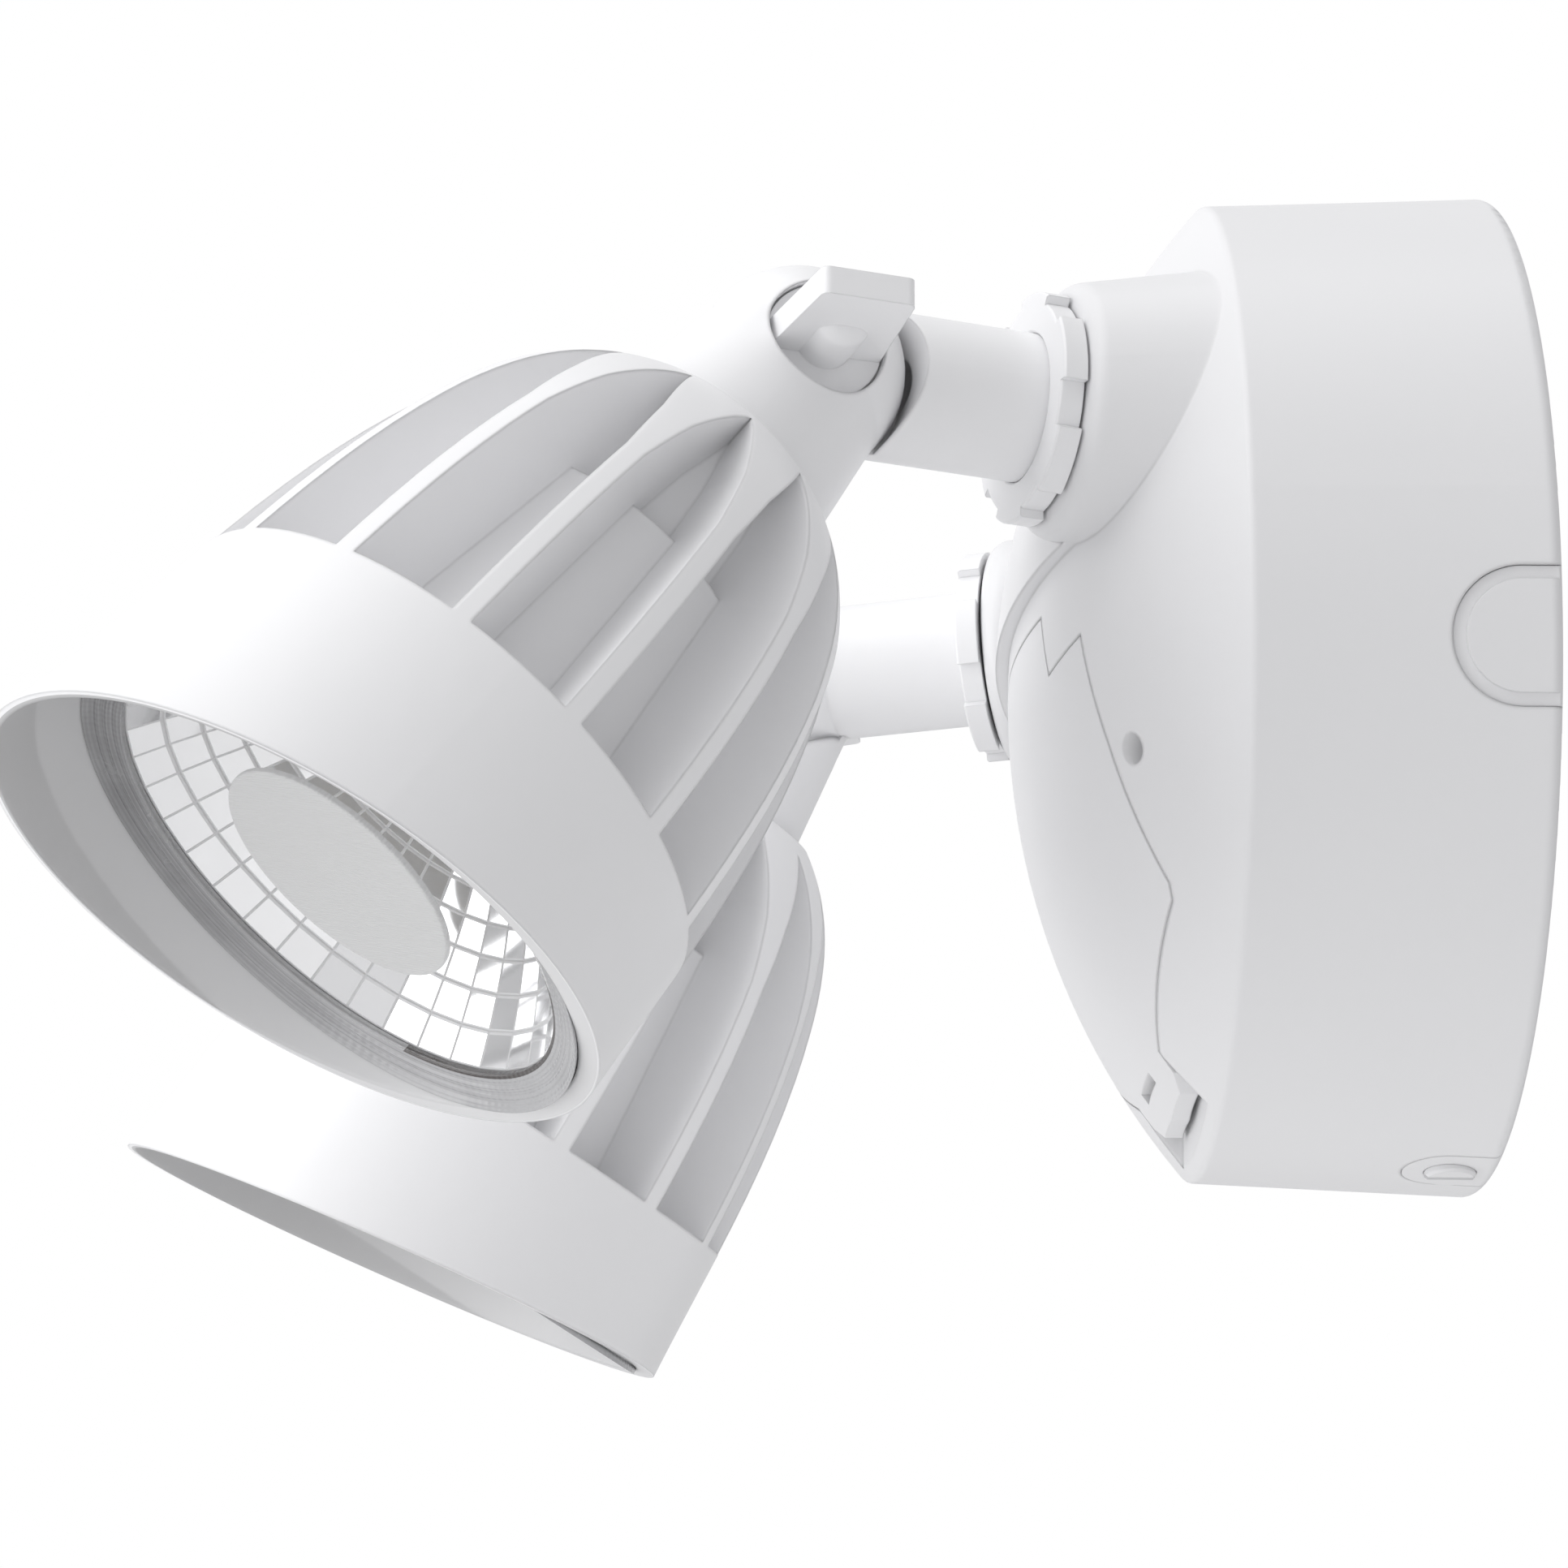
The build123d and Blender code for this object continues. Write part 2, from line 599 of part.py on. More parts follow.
def on_axis(part):
    return Pos(0, AXIS_OFFSET, HEAD_SHIFT) * part


def lens():
    face = disc(LENS_R, LENS_S - LENS_T, LENS_S)
    skirt = ring(LENS_R, LENS_R - 1.6, LENS_S - 8.4, LENS_S - LENS_T)
    return on_axis(face + skirt)


def lens_gasket():
    return on_axis(ring(LENS_R + 0.1, 39.0, LENS_S - 9.4, LENS_S - 8.4))


def diffuser():
    return on_axis(disc(DIFFUSER_R, LENS_S - LENS_T - 1.2, LENS_S - LENS_T))


def reflector():
    """Deep bowl, a paraboloid shell with a flat flange."""
    wall = 0.9
    small_r, start = 10.6, FLOOR_S + 2.7
    rate = (REFLECTOR_R ** 2 - small_r ** 2) / (REFLECTOR_S - start)
    radii = [small_r + (REFLECTOR_R - small_r) * k / 4 for k in range(5)]
    heights = [start + (r ** 2 - small_r ** 2) / rate for r in radii]
    inner = Spline(*zip(radii, heights))
    outer = Spline(*[(r + wall, z) for r, z in zip(radii, heights)])
    flange = Polyline((REFLECTOR_R, REFLECTOR_S), (REFLECTOR_R + 2.9, REFLECTOR_S),
                      (REFLECTOR_R + 2.9, REFLECTOR_S - wall), (REFLECTOR_R + wall, REFLECTOR_S - wall))
    low = Line((small_r, start), (small_r + wall, start))
    trim = Line((REFLECTOR_R + wall, REFLECTOR_S - wall), (REFLECTOR_R + wall, REFLECTOR_S))
    bowl = revolve(Plane.XZ * make_face([*inner.edges(), *outer.edges(), *low.edges(),
                   Line((REFLECTOR_R, REFLECTOR_S), (REFLECTOR_R + wall, REFLECTOR_S)).edges()[0]]), Axis.Z)
    lip = ring(REFLECTOR_R + 2.9, REFLECTOR_R + 0.2, REFLECTOR_S - wall, REFLECTOR_S)
    return on_axis(bowl + lip)


def led_board():
    board = disc(16.0, FLOOR_S, FLOOR_S + 1.6)
    for x in (-SCREW_SPAN / 2, SCREW_SPAN / 2):
        board -= Pos(x, 0, 0) * disc(1.3, FLOOR_S - 1, FLOOR_S + 3)
    return on_axis(board)


def led_array():
    return on_axis(disc(9.6, FLOOR_S + 1.6, FLOOR_S + 2.3))


def board_screws():
    screws = []
    for x in (-SCREW_SPAN / 2, SCREW_SPAN / 2):
        screw = disc(1.9, FLOOR_S + 1.6, FLOOR_S + 2.7) + disc(1.25, FLOOR_S - 5, FLOOR_S + 1.6)
        screw -= Pos(0, 0, FLOOR_S + 2.7) * Box(2.4, 0.6, 1.0)
        screw -= Pos(0, 0, FLOOR_S + 2.7) * Box(0.6, 2.4, 1.0)
        screws.append(on_axis(Pos(x, 0, 0) * screw))
    return screws


def thumb_screw():
    """Wing screw on the hinge axis; its head sits in the recess of the outer knuckle half."""
    shaft = crosswise(SCREW_R, -10.6, RECESS_X + 0.5)
    base = crosswise(RECESS_R - 0.3, RECESS_X + 0.1, RECESS_X + 0.9)
    root = RECESS_X + 0.6
    wing = Polygon((root, -WING_ROOT), (WING_TIP_X, -WING_TIP), (WING_TIP_X, WING_TIP), (root, WING_ROOT),
                   align=None)
    wing = extrude(wing, WING_T / 2, both=True)
    wing = fillet(wing.edges().filter_by(Axis.Z).sort_by(Axis.X)[-2:], 1.2)
    hub = crosswise(HUB_R, root, HUB_X)
    hub = fillet(hub.edges().filter_by(GeomType.CIRCLE).sort_by(Axis.X)[-1], 2.6)
    head = Rot(90 - WING_CLOCK, 0, 0) * wing
    return shaft + base + head + hub


# ---------------------------------------------------------------- write the parts
def write(name, part):
    solids = part.solids() if hasattr(part, "solids") else [s for p in part for s in p.solids()]
    whole = solids[0] if len(solids) == 1 else Compound(children=list(solids))
    whole.label = name
    export_step(whole, f"parts/{name}.step")


def build():
    shell = canopy_shell()
    for pillar in driver_pillars():
        shell += pillar & canopy_body(0)
    write("canopy_shell", shell)
    write("service_cover", service_cover())
    write("side_cap_right", side_cap(1))
    write("side_cap_left", side_cap(-1))
    write("bottom_cap", bottom_cap() - bottom_seat())
    write("bottom_screw", bottom_screw())
    write("wall_gasket", wall_gasket())
    write("mounting_plate", mounting_plate())
    write("ground_screw", ground_screw())
    write("canopy_screws", canopy_screws())
    write("driver_housing", driver_housing())
    write("driver_board", driver_board())
    write("driver_screws", driver_screws())
    write("terminal_block", terminal_block())
    write("terminal_screws", terminal_screws())
    write("control_board", control_board())
    for side, sign in sides():
        arm_at, head_at, boss_at = arm_frame(side), head_frame(side), boss_frame()
        write(f"arm_{side}", place(arm_body(), arm_at, sign))
        write(f"tilt_nut_{side}", place(tilt_nut(), arm_at, sign))
        write(f"locknut_{side}", place(locknut(), boss_at, sign))
        write(f"arm_seal_{side}", place(arm_seal(), boss_at, sign))
        write(f"head_housing_{side}", place(head_housing(), head_at, sign))
        write(f"lens_{side}", place(lens(), head_at, sign))
        write(f"lens_gasket_{side}", place(lens_gasket(), head_at, sign))
        write(f"diffuser_{side}", place(diffuser(), head_at, sign))
        write(f"reflector_{side}", place(reflector(), head_at, sign))
        write(f"led_board_{side}", place(led_board(), head_at, sign))
        write(f"led_array_{side}", place(led_array(), head_at, sign))
        write(f"board_screws_{side}", [place(s, head_at, sign) for s in board_screws()])
        write(f"thumb_screw_{side}", place(thumb_screw(), head_at, sign))


build()
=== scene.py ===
"""Looks of a twin-head wall floodlight.

Mouldings, castings, faceted bowls, lenses and the studio round them.
"""

import json
import math

import bpy
from bpy.props import FloatProperty, FloatVectorProperty, IntProperty, PointerProperty
from mathutils import Matrix, Vector


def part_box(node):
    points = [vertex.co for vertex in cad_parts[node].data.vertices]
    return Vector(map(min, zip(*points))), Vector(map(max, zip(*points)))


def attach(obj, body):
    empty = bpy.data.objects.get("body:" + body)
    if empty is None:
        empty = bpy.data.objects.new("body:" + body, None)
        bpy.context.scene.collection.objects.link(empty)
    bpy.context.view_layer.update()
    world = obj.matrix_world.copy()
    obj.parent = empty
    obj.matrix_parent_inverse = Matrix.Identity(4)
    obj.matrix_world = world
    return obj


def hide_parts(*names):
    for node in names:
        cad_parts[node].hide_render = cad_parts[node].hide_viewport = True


bl_info = {
    "name": "Floodlight Fixture",
    "version": (1, 0, 0),
    "blender": (4, 5, 0),
    "location": "View3D > Sidebar > Floodlight",
    "description": "Builds the lamp optics, the finishes and the studio of a twin-head floodlight",
    "category": "Object",
}

MM = 0.001
SIDES = ("right", "left")
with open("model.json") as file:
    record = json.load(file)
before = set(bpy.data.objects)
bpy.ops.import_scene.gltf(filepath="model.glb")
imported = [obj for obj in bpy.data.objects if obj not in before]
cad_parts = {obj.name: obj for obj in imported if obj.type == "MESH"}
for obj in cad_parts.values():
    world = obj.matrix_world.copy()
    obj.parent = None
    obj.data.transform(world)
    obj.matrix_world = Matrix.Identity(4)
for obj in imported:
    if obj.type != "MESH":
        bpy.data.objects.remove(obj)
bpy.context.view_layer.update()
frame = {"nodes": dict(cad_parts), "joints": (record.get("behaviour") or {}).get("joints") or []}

# stations along a head's axis, in metres from its hinge
LED_MIDDLE_S = 76.45 * MM
LENS_BACK_S = 104.6 * MM
MOUTH_S = 113.1 * MM
# middle of the hood's wall at the mouth, and how fast it opens
HOOD_WALL_R = 44.28 * MM
HOOD_FLARE = 0.11
# painted shade inside the hood: how bright the coat is painted at the bottom and at the top, and how far
# behind the lens it starts
HOOD_PAINTED_SHADE_LOW = 0.78
HOOD_PAINTED_SHADE_TOP = 0.58
HOOD_PAINTED_SHADE_DEPTH = 6.0 * MM
# mirror bowl, from the light source to the rim
BOWL_START_S = 77.3 * MM
BOWL_RIM_S = 104.3 * MM
BOWL_LIP = 1.018
BOWL_WALL = 0.8 * MM
# clear window and frosted disc
WINDOW_R = 35.7 * MM
WINDOW_T = 0.9 * MM
PUCK_T = 1.0 * MM
RING_SECTIONS = 160
ROUND_SECTIONS = 128
# section of the lens's grey edge, radius and station in millimetres: the steps in front, then the seat
LENS_EDGE_STEPS = [(35.8, 104.5), (35.8, 105.3), (36.6, 105.6), (37.4, 105.6), (37.7, 106.0), (38.6, 106.0),
                   (38.9, 106.4), (39.8, 106.4), (40.3, 106.9), (41.0, 107.4)]
LENS_EDGE_SEAT = [(40.9, 106.9), (40.5, 106.2), (40.5, 97.0), (39.4, 97.0), (39.2, 104.2)]

# what the camera looks at, and how far below it the frame's middle is
AIM_POINT = (0, -0.1022, 0)
AIM_DROP = 0.0138
FLOOR_SPOT = (0, -0.1, -0.62)
FLOOR_SIZE = 6.0
# soft boxes: name, place, what it faces, size and share of the key light's power
SOFT_BOXES = (("key_box", (0.60, -0.85, 0.72), (0, -0.08, 0), 0.8, 0.9),
              ("top_box", (0.30, -0.25, 1.1), (0, -0.08, 0), 0.9, 0.8),
              ("front_box", (0.25, -1.25, -0.1), (0, -0.05, -0.02), 1.0, 1.7))
# the surroundings brighten along this direction, as (position, grey)
SKY_LEAN = (-0.15, -0.60, 0.78)
SKY_STOPS = ((0.0, 0.24), (0.42, 0.60), (0.58, 0.90), (1.0, 1.10))
SKY_STRENGTH = 0.80


# ---------------------------------------------------------------- shader arithmetic
class Value:
    """A shader output that takes part in ordinary arithmetic."""

    def __init__(self, recipe, socket):
        self.recipe = recipe
        self.socket = socket

    def _math(self, operation, first, second=None):
        inputs = {0: first} if second is None else {0: first, 1: second}
        return self.recipe.node("ShaderNodeMath", {"operation": operation}, inputs)

    def __add__(self, other):
        return self._math("ADD", self, other)

    __radd__ = __add__

    def __sub__(self, other):
        return self._math("SUBTRACT", self, other)

    def __rsub__(self, other):
        return self._math("SUBTRACT", other, self)

    def __mul__(self, other):
        return self._math("MULTIPLY", self, other)

    __rmul__ = __mul__

    def __truediv__(self, other):
        return self._math("DIVIDE", self, other)

    def __rtruediv__(self, other):
        return self._math("DIVIDE", other, self)

    def __pow__(self, other):
        return self._math("POWER", self, other)

    def __rpow__(self, other):
        return self._math("POWER", other, self)

    def __neg__(self):
        return self._math("MULTIPLY", self, -1.0)

    def __gt__(self, other):
        return self._math("GREATER_THAN", self, other)

    def __lt__(self, other):
        return self._math("LESS_THAN", self, other)

    def most(self, other):
        return self._math("MAXIMUM", self, other)

    def sine(self):
        return self._math("SINE", self)

    def size(self):
        return self._math("ABSOLUTE", self)

    def part(self):
        return self._math("FRACT", self)


class Recipe:
    """One procedural material and the nodes it is made of."""

    def __init__(self, name, color, roughness, **constants):
        self.material = bpy.data.materials.new(name)
        self.material.use_nodes = True
        self.tree = self.material.node_tree
        self.surface = self.tree.nodes["Principled BSDF"]
        self.put("Base Color", (*color, 1.0))
        self.put("Roughness", roughness)
        for socket, value in constants.items():
            self.put(socket.replace("_", " "), value)
        self.material.diffuse_color = (*color, 1.0)
        self._place = None

    def put(self, socket, value):
        """Set or link one input of the surface shader."""
        self._fill(self.surface.inputs[socket], value)

    def _fill(self, socket, value):
        if isinstance(value, Value):
            self.tree.links.new(value.socket, socket)
        else:
            socket.default_value = value

    def node(self, kind, settings=None, inputs=None, output=0):
        """Add any node: settings first, then the values or links of its sockets."""
        made = self.tree.nodes.new(kind)
        for key, value in (settings or {}).items():
            if key == "stops":
                while len(made.color_ramp.elements) < len(value):
                    made.color_ramp.elements.new(0.5)
                for element, (position, color) in zip(made.color_ramp.elements, value):
                    element.position = position
                    element.color = color
            else:
                setattr(made, key, value)
        for key, value in (inputs or {}).items():
            self._fill(made.inputs[key], value)
        return Value(self, made.outputs[output])

    def place(self):
        """Object coordinates, in metres."""
        if self._place is None:
            self._place = self.node("ShaderNodeTexCoord", output="Object")
        return self._place

    def turned_place(self, matrix):
        """Object coordinates seen from a frame given by a matrix."""
        back = matrix.inverted()
        turn = back.to_euler()
        return self.node(
            "ShaderNodeMapping",
            {"vector_type": "POINT"},
            {"Vector": self.place(), "Location": tuple(back.translation), "Rotation": tuple(turn)},
        )

    def axis(self, name, source=None):
        return self.node("ShaderNodeSeparateXYZ", {}, {0: source or self.place()}, output=name)

    def noise(self, scale, detail=2.0, roughness=0.5, source=None):
        inputs = {"Vector": source or self.place(), "Scale": scale, "Detail": detail, "Roughness": roughness}
        return self.node("ShaderNodeTexNoise", {}, inputs, output="Fac")

    def mix(self, factor, first, second):
        inputs = {"Factor": factor, "A": (*first, 1.0), "B": (*second, 1.0)}
        made = self.tree.nodes.new("ShaderNodeMix")
        made.data_type = "RGBA"
        sockets = {"Factor": made.inputs[0], "A": made.inputs[6], "B": made.inputs[7]}
        for key, value in inputs.items():
            self._fill(sockets[key], value)
        return Value(self, made.outputs[2])

    def mix_values(self, factor, first, second):
        """Mix two colours that are themselves shader outputs."""
        made = self.tree.nodes.new("ShaderNodeMix")
        made.data_type = "RGBA"
        self._fill(made.inputs[0], factor)
        self._fill(made.inputs[6], first)
        self._fill(made.inputs[7], second)
        return Value(self, made.outputs[2])

    def tone(self, factor, low, high):
        """Vary the colour between two tones."""
        self.put("Base Color", self.mix(factor, low, high))

    def bump(self, height, distance, strength=1.0, soft_edge=None):
        inputs = {"Height": height, "Distance": distance, "Strength": strength}
        if soft_edge:
            inputs["Normal"] = self.node("ShaderNodeBevel", {"samples": 6}, {"Radius": soft_edge})
        self.put("Normal", self.node("ShaderNodeBump", {}, inputs))


def shade(color, by):
    return tuple(min(1.0, c * by) for c in color)


# ---------------------------------------------------------------- finishes
def moulded_white(name, color, roughness, edge):
    """Satin injection moulding: very fine grain, faint flow tone, soft edges."""
    made = Recipe(name, color, roughness, Specular_IOR_Level=0.5, Coat_Weight=0.12, Coat_Roughness=0.22)
    grain = made.noise(2600.0, 2.0, 0.6)
    flow = made.noise(24.0, 3.0, 0.5)
    made.tone(flow, shade(color, 0.985), shade(color, 1.012))
    made.put("Roughness", roughness - 0.03 + 0.08 * flow)
    made.bump(grain, 0.00002, 0.35, edge)
    return made.material


def powder_coat(name, color, roughness, edge, matrix=None):
    """Powder coat on a casting: low orange peel over softened edges, with painted shade inside the hood,
    darkest toward its top.
    """
    made = Recipe(name, color, roughness, Specular_IOR_Level=0.5, Coat_Weight=0.18, Coat_Roughness=0.2)
    peel = made.noise(760.0, 3.0, 0.45)
    broad = made.noise(30.0, 2.0, 0.5)
    made.tone(broad, shade(color, 0.98), shade(color, 1.01))
    if matrix:
        local = made.turned_place(matrix)
        x, y, along = made.axis("X", local), made.axis("Y", local), made.axis("Z", local)
        radius = (x * x + y * y) ** 0.5
        wall = HOOD_WALL_R + HOOD_FLARE * (along - MOUTH_S)
        # painted shade: inside the hood the coat is painted greyer, darker toward the head's top
        inside = (radius < wall) * (along > LENS_BACK_S - HOOD_PAINTED_SHADE_DEPTH)
        plain_tone = made.mix(broad, shade(color, 0.98), shade(color, 1.01))
        grey = made.node("ShaderNodeMapRange", {}, {"Value": y, "From Min": -0.04, "From Max": 0.044,
                                                    "To Min": 0.0, "To Max": 1.0})
        inner = made.mix(grey, shade(color, HOOD_PAINTED_SHADE_LOW), shade(color, HOOD_PAINTED_SHADE_TOP))
        made.put("Base Color", made.mix_values(inside, plain_tone, inner))
    made.put("Roughness", roughness - 0.02 + 0.07 * broad)
    made.bump(peel, 0.00004, 0.3, edge)
    return made.material


def zinc(name, color):
    """Zinc plate with drawn streaks and a mottled passivation."""
    made = Recipe(name, color, 0.34, Metallic=1.0)
    cloud = made.noise(120.0, 4.0, 0.6)
    streak = made.noise(900.0, 2.0, 0.5)
    made.tone(cloud, shade(color, 0.84), shade(color, 1.06))
    made.put("Roughness", 0.26 + 0.2 * cloud)
    made.bump(streak, 0.00001, 0.5, 0.0002)
    return made.material


def dyed_screw(name, color):
    made = Recipe(name, color, 0.35, Metallic=0.7)
    worn = made.noise(700.0, 3.0, 0.6)
    made.tone(worn, shade(color, 0.8), shade(color, 1.25))
    made.put("Roughness", 0.28 + 0.2 * worn)
    made.bump(worn, 0.00002, 0.4, 0.0002)
    return made.material


def black_rubber(name, color):
    made = Recipe(name, color, 0.62, Specular_IOR_Level=0.35)
    pores = made.noise(1500.0, 3.0, 0.6)
    made.tone(pores, shade(color, 0.8), shade(color, 1.3))
    made.put("Roughness", 0.55 + 0.2 * pores)
    made.bump(pores, 0.00003, 0.5)
    return made.material


def foam(name, color):
    """Closed-cell foam with open skin cells."""
    made = Recipe(name, color, 0.9, Specular_IOR_Level=0.2)
    cells = made.node("ShaderNodeTexVoronoi", {}, {"Vector": made.place(), "Scale": 1400.0}, "Distance")
    made.tone(cells, shade(color, 0.55), shade(color, 1.5))
    made.put("Roughness", 0.8 + 0.15 * cells)
    made.bump(cells, 0.00018, 0.8)
    return made.material


def driver_case(name, color):
    made = Recipe(name, color, 0.5)
    spark = made.noise(3200.0, 2.0, 0.7)
    made.tone(spark, shade(color, 0.93), shade(color, 1.03))
    made.put("Roughness", 0.45 + 0.15 * spark)
    made.bump(spark, 0.00004, 0.5, 0.0004)
    return made.material


def circuit_board(name, color):
    """Solder mask with copper runs showing through."""
    made = Recipe(name, color, 0.32, Coat_Weight=0.3, Coat_Roughness=0.15)
    across = (made.axis("X") * 330.0).part()
    upward = (made.axis("Z") * 410.0).part()
    runs = (across > 0.72).most(upward > 0.78)
    island = made.noise(170.0, 1.0, 0.4) > 0.52
    copper = runs * island
    made.tone(copper, color, shade(color, 1.9))
    made.put("Roughness", 0.34 - 0.1 * copper)
    made.bump(copper, 0.00004, 0.6)
    return made.material


def glossy_block(name, color):
    made = Recipe(name, color, 0.28, Coat_Weight=0.2, Coat_Roughness=0.2)
    cloud = made.noise(300.0, 2.0, 0.5)
    made.tone(cloud, shade(color, 0.95), shade(color, 1.04))
    made.put("Roughness", 0.24 + 0.12 * cloud)
    made.bump(cloud, 0.00002, 0.4, 0.0004)
    return made.material


def clear_lens(name, color):
    """Clear moulded window: nearly invisible face on, glossy at a slant."""
    made = Recipe(name, color, 0.04, IOR=1.49, Specular_IOR_Level=0.6)
    slant = made.node("ShaderNodeLayerWeight", {}, {"Blend": 0.28}, output="Fresnel")
    ripple = made.noise(60.0, 1.0, 0.4)
    made.put("Alpha", 0.015 + 0.10 * slant)
    made.put("Roughness", 0.03 + 0.02 * ripple)
    made.bump(ripple, 0.00001, 0.05)
    return made.material


def lens_skirt(name, color, matrix):
    """Grey translucent edge of the lens: fine rings, painted shade darker toward the top, and a painted
    near-black shadow in the gap at the bottom.
    """
    made = Recipe(name, color, 0.22, Specular_IOR_Level=0.7, Coat_Weight=0.4, Coat_Roughness=0.08)
    local = made.turned_place(matrix)
    x, y = made.axis("X", local), made.axis("Y", local)
    turn = made.node("ShaderNodeMath", {"operation": "ARCTAN2"}, {0: y, 1: x})
    ribs = (turn * 170.0).sine()
    radius = (x * x + y * y) ** 0.5
    rings = (radius * 13000.0).sine()
    cloud = made.noise(110.0, 3.0, 0.55, local)
    # painted shade: the edge is painted darker toward the head's top
    rise = made.node("ShaderNodeMapRange", {}, {"Value": y, "From Min": -0.036, "From Max": 0.03})
    painted_top_shade = made.mix(rise, shade(color, 1.0), shade(color, 0.30))
    mottled = made.mix(cloud, shade(color, 0.45), shade(color, 1.5))
    tone = made.mix_values(0.28 + 0.08 * rings, painted_top_shade, mottled)
    # painted shadow: a near-black crescent on the inner edge at the bottom, where the gap under the bowl's
    # rim lies in shade
    painted_gap_shadow = (radius < 0.0364) * (y < -0.022)
    made.put("Base Color", made.mix_values(painted_gap_shadow, tone, (0.02, 0.012, 0.01, 1.0)))
    made.put("Roughness", 0.18 + 0.14 * cloud)
    made.bump(ribs + rings, 0.00006, 0.4)
    return made.material


def frosted_puck(name, color, matrix):
    """Diffusing disc with fine parallel ribs."""
    made = Recipe(name, color, 0.42, Specular_IOR_Level=0.5)
    local = made.turned_place(matrix)
    x, y = made.axis("X", local), made.axis("Y", local)
    ribs = ((x * 0.5 + y * 0.86) * 14000.0).sine()
    rib2 = ((x * 0.86 - y * 0.5) * 14000.0).sine()
    made.tone(0.5 + 0.28 * ribs + 0.16 * rib2, shade(color, 0.93), shade(color, 1.05))
    made.put("Roughness", 0.40 + 0.06 * ribs)
    made.bump(ribs + 0.6 * rib2, 0.00005, 0.5)
    return made.material


def mirror_facets(name, color, matrix, optic):
    """Vacuum-metallised plastic: bright facets, satin grooves between them, a trace of haze."""
    made = Recipe(name, color, 0.07, Metallic=1.0)
    local = made.turned_place(matrix)
    x, y = made.axis("X", local), made.axis("Y", local)
    turn = made.node("ShaderNodeMath", {"operation": "ARCTAN2"}, {0: y, 1: x})
    pitch = 2 * math.pi / optic.facet_columns
    column = (turn / pitch + float(optic.facet_columns)).part() - 0.5
    # distance from the axis measured square to each flat facet
    radius = (x * x + y * y) ** 0.5 * (column * pitch + math.pi / 2).sine() / math.cos(pitch / 2)
    step = (optic.bowl_radius - optic.throat_radius) / optic.facet_rows
    row = ((radius - optic.throat_radius) / step).part() - 0.5
    upright = (0.5 - column.size()) * pitch * radius < optic.groove
    level = (0.5 - row.size()) * step < optic.groove
    line = upright.most(level)
    haze = made.noise(140.0, 2.0, 0.5)
    face = made.mix(haze, shade(color, 0.97), shade(color, 1.02))
    made.put("Base Color", made.mix_values(line, face, (0.62, 0.62, 0.63, 1.0)))
    made.put("Roughness", 0.05 + 0.05 * haze + 0.40 * line)
    made.put("Metallic", 1.0 - 0.75 * line)
    made.bump(haze, 0.00003, 0.12)
    return made.material


def source_board(name, color):
    made = Recipe(name, color, 0.3, Coat_Weight=0.3, Coat_Roughness=0.2)
    mask = made.noise(800.0, 2.0, 0.5)
    made.tone(mask, shade(color, 0.95), shade(color, 1.02))
    made.put("Roughness", 0.26 + 0.1 * mask)
    made.bump(mask, 0.00002, 0.3, 0.0002)
    return made.material


def phosphor(name, color):
    """Yellow silicone with the emitters' grid of dots beneath."""
    made = Recipe(name, color, 0.35, Coat_Weight=0.3, Coat_Roughness=0.1)
    inputs = {"Vector": made.place(), "Scale": 620.0}
    dots = made.node("ShaderNodeTexVoronoi", {"feature": "F1"}, inputs, "Distance")
    spot = dots < 0.22
    made.tone(spot, color, shade(color, 0.72))
    made.put("Roughness", 0.35 - 0.1 * spot)
    made.bump(1 - dots, 0.0001, 0.4)
    return made.material


def pale_floor(name, color):
    made = Recipe(name, color, 0.85)
    cloud = made.noise(3.0, 2.0, 0.5)
    made.tone(cloud, shade(color, 0.99), color)
    return made.material


# ---------------------------------------------------------------- hand modelling helpers
def start_clean():
    if bpy.context.object and bpy.context.object.mode != "OBJECT":
        bpy.ops.object.mode_set(mode="OBJECT")
    bpy.ops.object.select_all(action="DESELECT")


def only(obj):
    """Select one object and make it the active one."""
    start_clean()
    obj.select_set(True)
    bpy.context.view_layer.objects.active = obj
    return obj


def added(operator, **settings):
    """Run one of the primitive operators and return what it made."""
    start_clean()
    operator(**settings)
    return bpy.context.object


def choose(obj, kind, test):
    """Select the faces, edges or vertices that pass a test, and stay in edit mode."""
    only(obj)
    bpy.ops.object.mode_set(mode="EDIT")
    bpy.ops.mesh.select_mode(type=kind)
    bpy.ops.mesh.select_all(action="DESELECT")
    bpy.ops.object.mode_set(mode="OBJECT")
    items = {"FACE": obj.data.polygons, "EDGE": obj.data.edges, "VERT": obj.data.vertices}[kind]
    for item in items:
        item.select = bool(test(item))
    bpy.ops.object.mode_set(mode="EDIT")


def finish_edit():
    bpy.ops.object.mode_set(mode="OBJECT")


def modified(obj, kind, **settings):
    """Add a modifier, set it and apply it."""
    only(obj)
    modifier = obj.modifiers.new(kind.title(), kind)
    for key, value in settings.items():
        setattr(modifier, key, value)
    bpy.ops.object.modifier_apply(modifier=modifier.name)
    return obj


def recalculated(obj, inside=False):
    choose(obj, "FACE", lambda face: True)
    bpy.ops.mesh.remove_doubles(threshold=0.000002)
    bpy.ops.mesh.normals_make_consistent(inside=inside)
    finish_edit()
    return obj


def seated(obj, matrix):
    """Turn a piece into its place and leave the place in its mesh."""
    only(obj)
    obj.matrix_world = matrix
    bpy.ops.object.transform_apply(location=True, rotation=True, scale=True)
    return obj


def copied(obj, name):
    twin = obj.copy()
    twin.data = obj.data.copy()
    bpy.context.scene.collection.objects.link(twin)
    twin.name = name
    twin.data.name = name
    return twin


def clad(obj, material):
    obj.data.materials.clear()
    obj.data.materials.append(material)
    return obj


